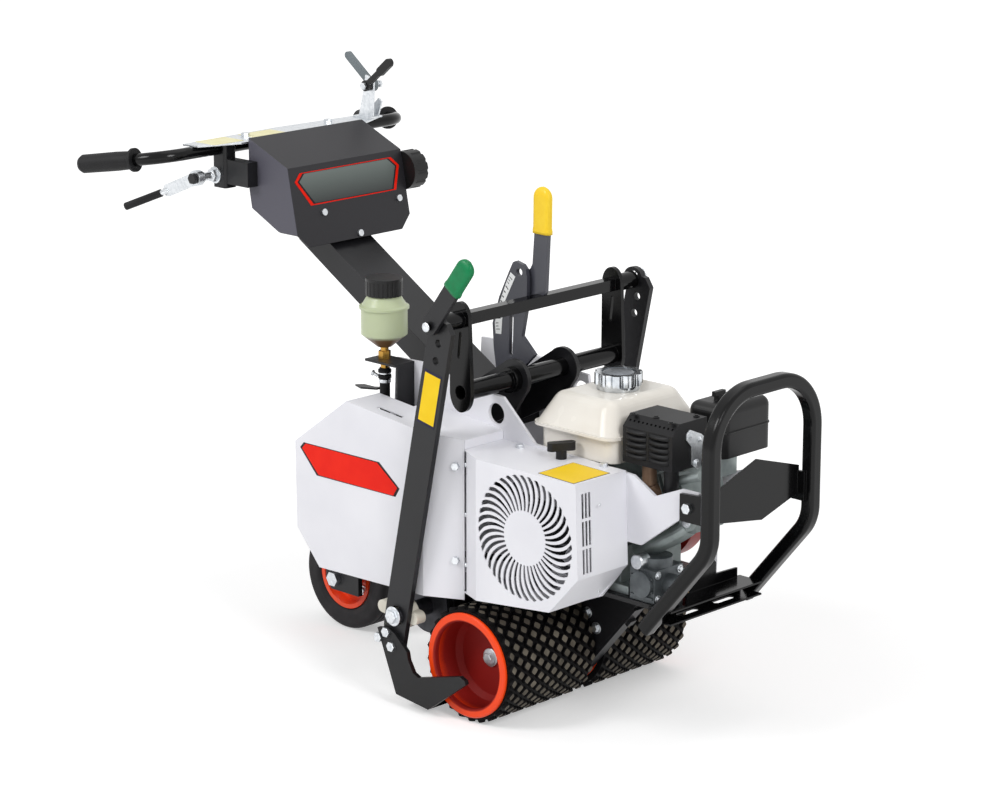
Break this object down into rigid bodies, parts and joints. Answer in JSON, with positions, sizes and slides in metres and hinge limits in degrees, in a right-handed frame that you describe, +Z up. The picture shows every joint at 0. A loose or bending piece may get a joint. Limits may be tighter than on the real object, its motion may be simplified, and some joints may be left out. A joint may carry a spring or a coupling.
{
  "type": "sod cutter",
  "caption": "Walk-behind sod cutter with knobbed drive rollers, an oscillating U-shaped blade on swinging arms, a belt drive under covers, a small engine and a handle console.",
  "frame": {"origin": "on the ground under the middle of the bounding box", "axes": "+X forward in the direction of travel, +Y to the operator's left, +Z up"},
  "size_m": [1.2964, 0.702, 1.012],
  "materials": {
    "white_paint": "gloss powder coat",
    "black_paint": "satin powder coat",
    "orange_paint": "gloss paint",
    "zinc": "zinc plated",
    "dark_steel": "oiled steel",
    "bare_blade": "dark tempered steel",
    "cast_alloy": "as cast",
    "hot_metal": "heat-dark coating",
    "hydro_iron": "as cast",
    "bearing_cream": "cream paint",
    "chrome": "bright plated",
    "brass": "turned",
    "tread_rubber": "moulded, slightly dusty",
    "belt_rubber": "matt",
    "grip_rubber": "matt",
    "tyre": "matt",
    "yellow_vinyl": "dipped, glossy",
    "green_vinyl": "dipped, glossy",
    "black_plastic": "moulded",
    "red_plastic": "moulded",
    "tank_shell": "gloss",
    "bottle": "translucent"
  },
  "bodies": {
    "chassis": {"side_plate_right": "white_paint", "side_plate_left": "white_paint", "rear_cover": "white_paint", "fan_cover": "white_paint", "engine_deck": "black_paint", "tail_fork": "black_paint", "column": "black_paint", "console": "black_paint", "handlebar": "black_paint", "handle_clamps": "black_paint", "reservoir_bracket": "black_paint", "eccentric_housing": "black_paint", "chain_case": "black_paint", "scraper": "black_paint", "guard_hoop": "black_paint", "top_plate": "zinc", "frame_bolts": "zinc", "lever_bracket": "zinc", "quadrant": "dark_steel", "engine_block": "cast_alloy", "muffler": "hot_metal", "hydro_unit": "hydro_iron", "reservoir_fitting": "brass", "drive_belts": "belt_rubber", "reservoir_hose": "belt_rubber", "grip_right": "grip_rubber", "grip_left": "grip_rubber", "air_cleaner": "black_plastic", "recoil_housing": "red_plastic", "fuel_tank": "tank_shell", "reservoir_bottle": "bottle"},
    "rollers": {"drive_axle": "zinc", "rim_right": "orange_paint", "rim_left": "orange_paint", "tread_right": "tread_rubber", "tread_left": "tread_rubber"},
    "tail_wheel": {"tail_rim": "orange_paint", "tail_tyre": "tyre"},
    "rocker": {"rocker_frame": "black_paint", "depth_lever": "dark_steel", "depth_grip": "yellow_vinyl"},
    "blade": {"blade_arm_right": "black_paint", "blade_arm_left": "black_paint", "sod_blade": "bare_blade", "blade_bolts": "zinc", "arm_bearings": "bearing_cream"},
    "lock": {"lock_lever": "dark_steel", "lock_grip": "green_vinyl"},
    "crank": {"crank_pulley": "dark_steel"},
    "jack": {"jackshaft": "dark_steel"},
    "eccentric": {"eccentric_shaft": "dark_steel"},
    "drive_hand": {"drive_lever": "zinc", "lever_sleeve": "grip_rubber"},
    "clutch_hand": {"clutch_lever": "dark_steel"},
    "throttle_hand": {"throttle_lever": "black_plastic"},
    "dial": {"console_knob": "black_plastic"},
    "cover_screw": {"cover_knob": "black_plastic"},
    "oil_lid": {"reservoir_cap": "black_plastic"},
    "fuel_lid": {"fuel_cap": "chrome"},
    "starter": {"starter_grip": "black_plastic"}
  },
  "joints": [
    {"name": "drive_axle_spin", "type": "hinge", "parent": "chassis", "child": "rollers", "pos_m": [0.19539, 0, 0.1], "axis": [0, 1, 0], "continuous": true},
    {"name": "tail_wheel_spin", "type": "hinge", "parent": "chassis", "child": "tail_wheel", "pos_m": [-0.30961, 0, 0.1], "axis": [0, 1, 0], "continuous": true},
    {"name": "crank_spin", "type": "hinge", "parent": "chassis", "child": "crank", "pos_m": [0.32939, -0.185, 0.351], "axis": [0, 1, 0], "continuous": true},
    {"name": "jack_spin", "type": "hinge", "parent": "chassis", "child": "jack", "pos_m": [-0.03961, -0.165, 0.345], "axis": [0, 1, 0], "continuous": true},
    {"name": "eccentric_spin", "type": "hinge", "parent": "chassis", "child": "eccentric", "pos_m": [0.05039, 0, 0.16], "axis": [0, 1, 0], "continuous": true},
    {"name": "depth_lever_swing", "type": "hinge", "parent": "chassis", "child": "rocker", "pos_m": [0.14739, 0, 0.555], "axis": [0, 1, 0], "range_deg": [-4, 24]},
    {"name": "blade_swing", "type": "hinge", "parent": "chassis", "child": "blade", "pos_m": [0.05039, 0, 0.16], "axis": [0, 1, 0], "range_deg": [-1.2, 6]},
    {"name": "lock_lever_swing", "type": "hinge", "parent": "rocker", "child": "lock", "pos_m": [0.14439, -0.256, 0.678], "axis": [0, 1, 0], "range_deg": [-35, 20]},
    {"name": "drive_lever_squeeze", "type": "hinge", "parent": "chassis", "child": "drive_hand", "pos_m": [-0.48461, -0.208, 0.834], "axis": [0, 1, 0], "range_deg": [0, 12]},
    {"name": "clutch_lever_swing", "type": "hinge", "parent": "chassis", "child": "clutch_hand", "pos_m": [-0.45861, 0.195, 0.956], "axis": [0, 1, 0], "range_deg": [-25, 25]},
    {"name": "throttle_lever_swing", "type": "hinge", "parent": "chassis", "child": "throttle_hand", "pos_m": [-0.45861, 0.18, 0.956], "axis": [0, 1, 0], "range_deg": [-30, 30]},
    {"name": "console_knob_turn", "type": "hinge", "parent": "chassis", "child": "dial", "pos_m": [-0.32461, 0.15, 0.822], "axis": [0, 1, 0], "continuous": true},
    {"name": "cover_knob_turn", "type": "hinge", "parent": "chassis", "child": "cover_screw", "pos_m": [0.31839, -0.129, 0.47], "axis": [0, 0, 1], "continuous": true},
    {"name": "oil_cap_turn", "type": "hinge", "parent": "chassis", "child": "oil_lid", "pos_m": [-0.09461, -0.13, 0.69], "axis": [0, 0, 1], "continuous": true},
    {"name": "fuel_cap_turn", "type": "hinge", "parent": "chassis", "child": "fuel_lid", "pos_m": [0.32639, 0, 0.57], "axis": [0, 0, 1], "continuous": true},
    {"name": "starter_pull", "type": "slide", "parent": "chassis", "child": "starter", "axis": [0, 1, 0], "range_m": [0, 0.5]}
  ],
  "couplings": [
    {"joint": "jack_spin", "follows": "crank_spin", "ratio": 0.4891},
    {"joint": "eccentric_spin", "follows": "crank_spin", "ratio": 0.3727},
    {"joint": "blade_swing", "follows": "depth_lever_swing", "ratio": 0.2338}
  ]
}
